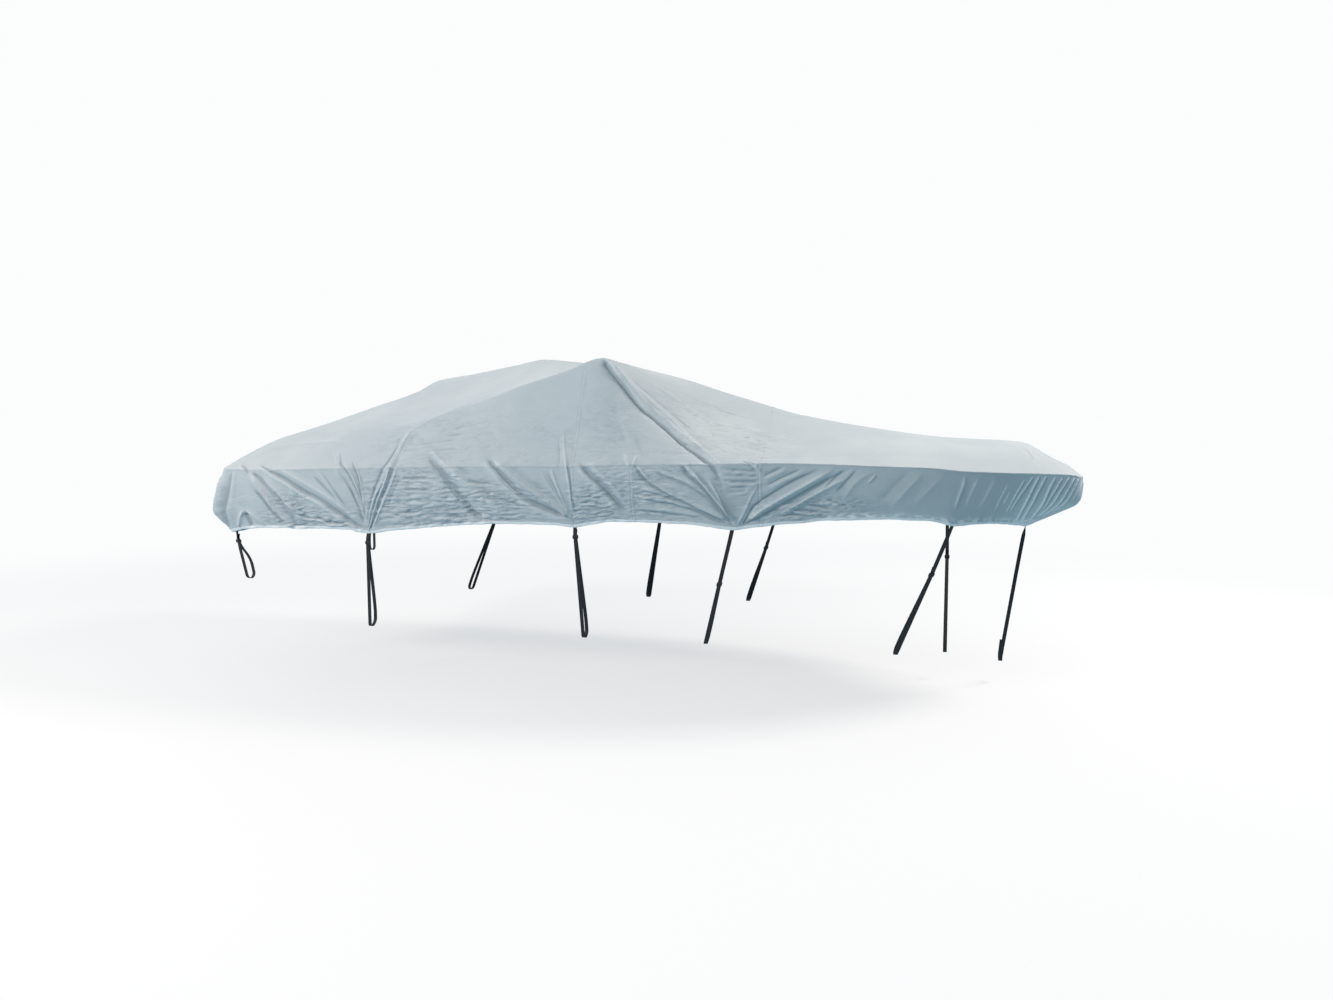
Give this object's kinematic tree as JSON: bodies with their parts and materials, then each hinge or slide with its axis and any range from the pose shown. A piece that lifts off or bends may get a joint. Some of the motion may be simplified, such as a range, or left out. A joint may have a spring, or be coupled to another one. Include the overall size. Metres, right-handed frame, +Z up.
{
  "type": "fitted boat cover",
  "caption": "Fitted trailerable boat cover in coated grey polyester, tented over a windscreen and centre pole, with a sewn-on skirt and black webbing tie-down straps.",
  "frame": {"origin": "under the top on the centre line, where the support pole in the cockpit holds the cloth up", "axes": "+X to the bow, +Z up, -Y the starboard side"},
  "size_m": [5.9508, 2.364, 2.1147],
  "materials": {
    "canvas": "light grey coated woven polyester with a faint sheen",
    "webbing": "black woven polypropylene webbing",
    "buckle": "black moulded plastic, satin"
  },
  "bodies": {
    "root": {"top_aft": "canvas", "top_middle": "canvas", "top_fore": "canvas", "skirt_stern": "canvas", "skirt_short_starboard": "canvas", "skirt_short_port": "canvas", "skirt_long_starboard": "canvas", "skirt_long_port": "canvas", "skirt_bow": "canvas", "strap_stern_starboard": "webbing", "strap_aft_starboard": "webbing", "strap_middle_starboard": "webbing", "strap_fore_starboard": "webbing", "strap_quarter_starboard": "webbing", "strap_stern_port": "webbing", "strap_aft_port": "webbing", "strap_middle_port": "webbing", "strap_fore_port": "webbing", "strap_quarter_port": "webbing", "strap_bow": "webbing", "buckle_stern_starboard": "buckle", "buckle_aft_starboard": "buckle", "buckle_middle_starboard": "buckle", "buckle_fore_starboard": "buckle", "buckle_quarter_starboard": "buckle", "buckle_stern_port": "buckle", "buckle_aft_port": "buckle", "buckle_middle_port": "buckle", "buckle_fore_port": "buckle", "buckle_quarter_port": "buckle"}
  },
  "joints": []
}
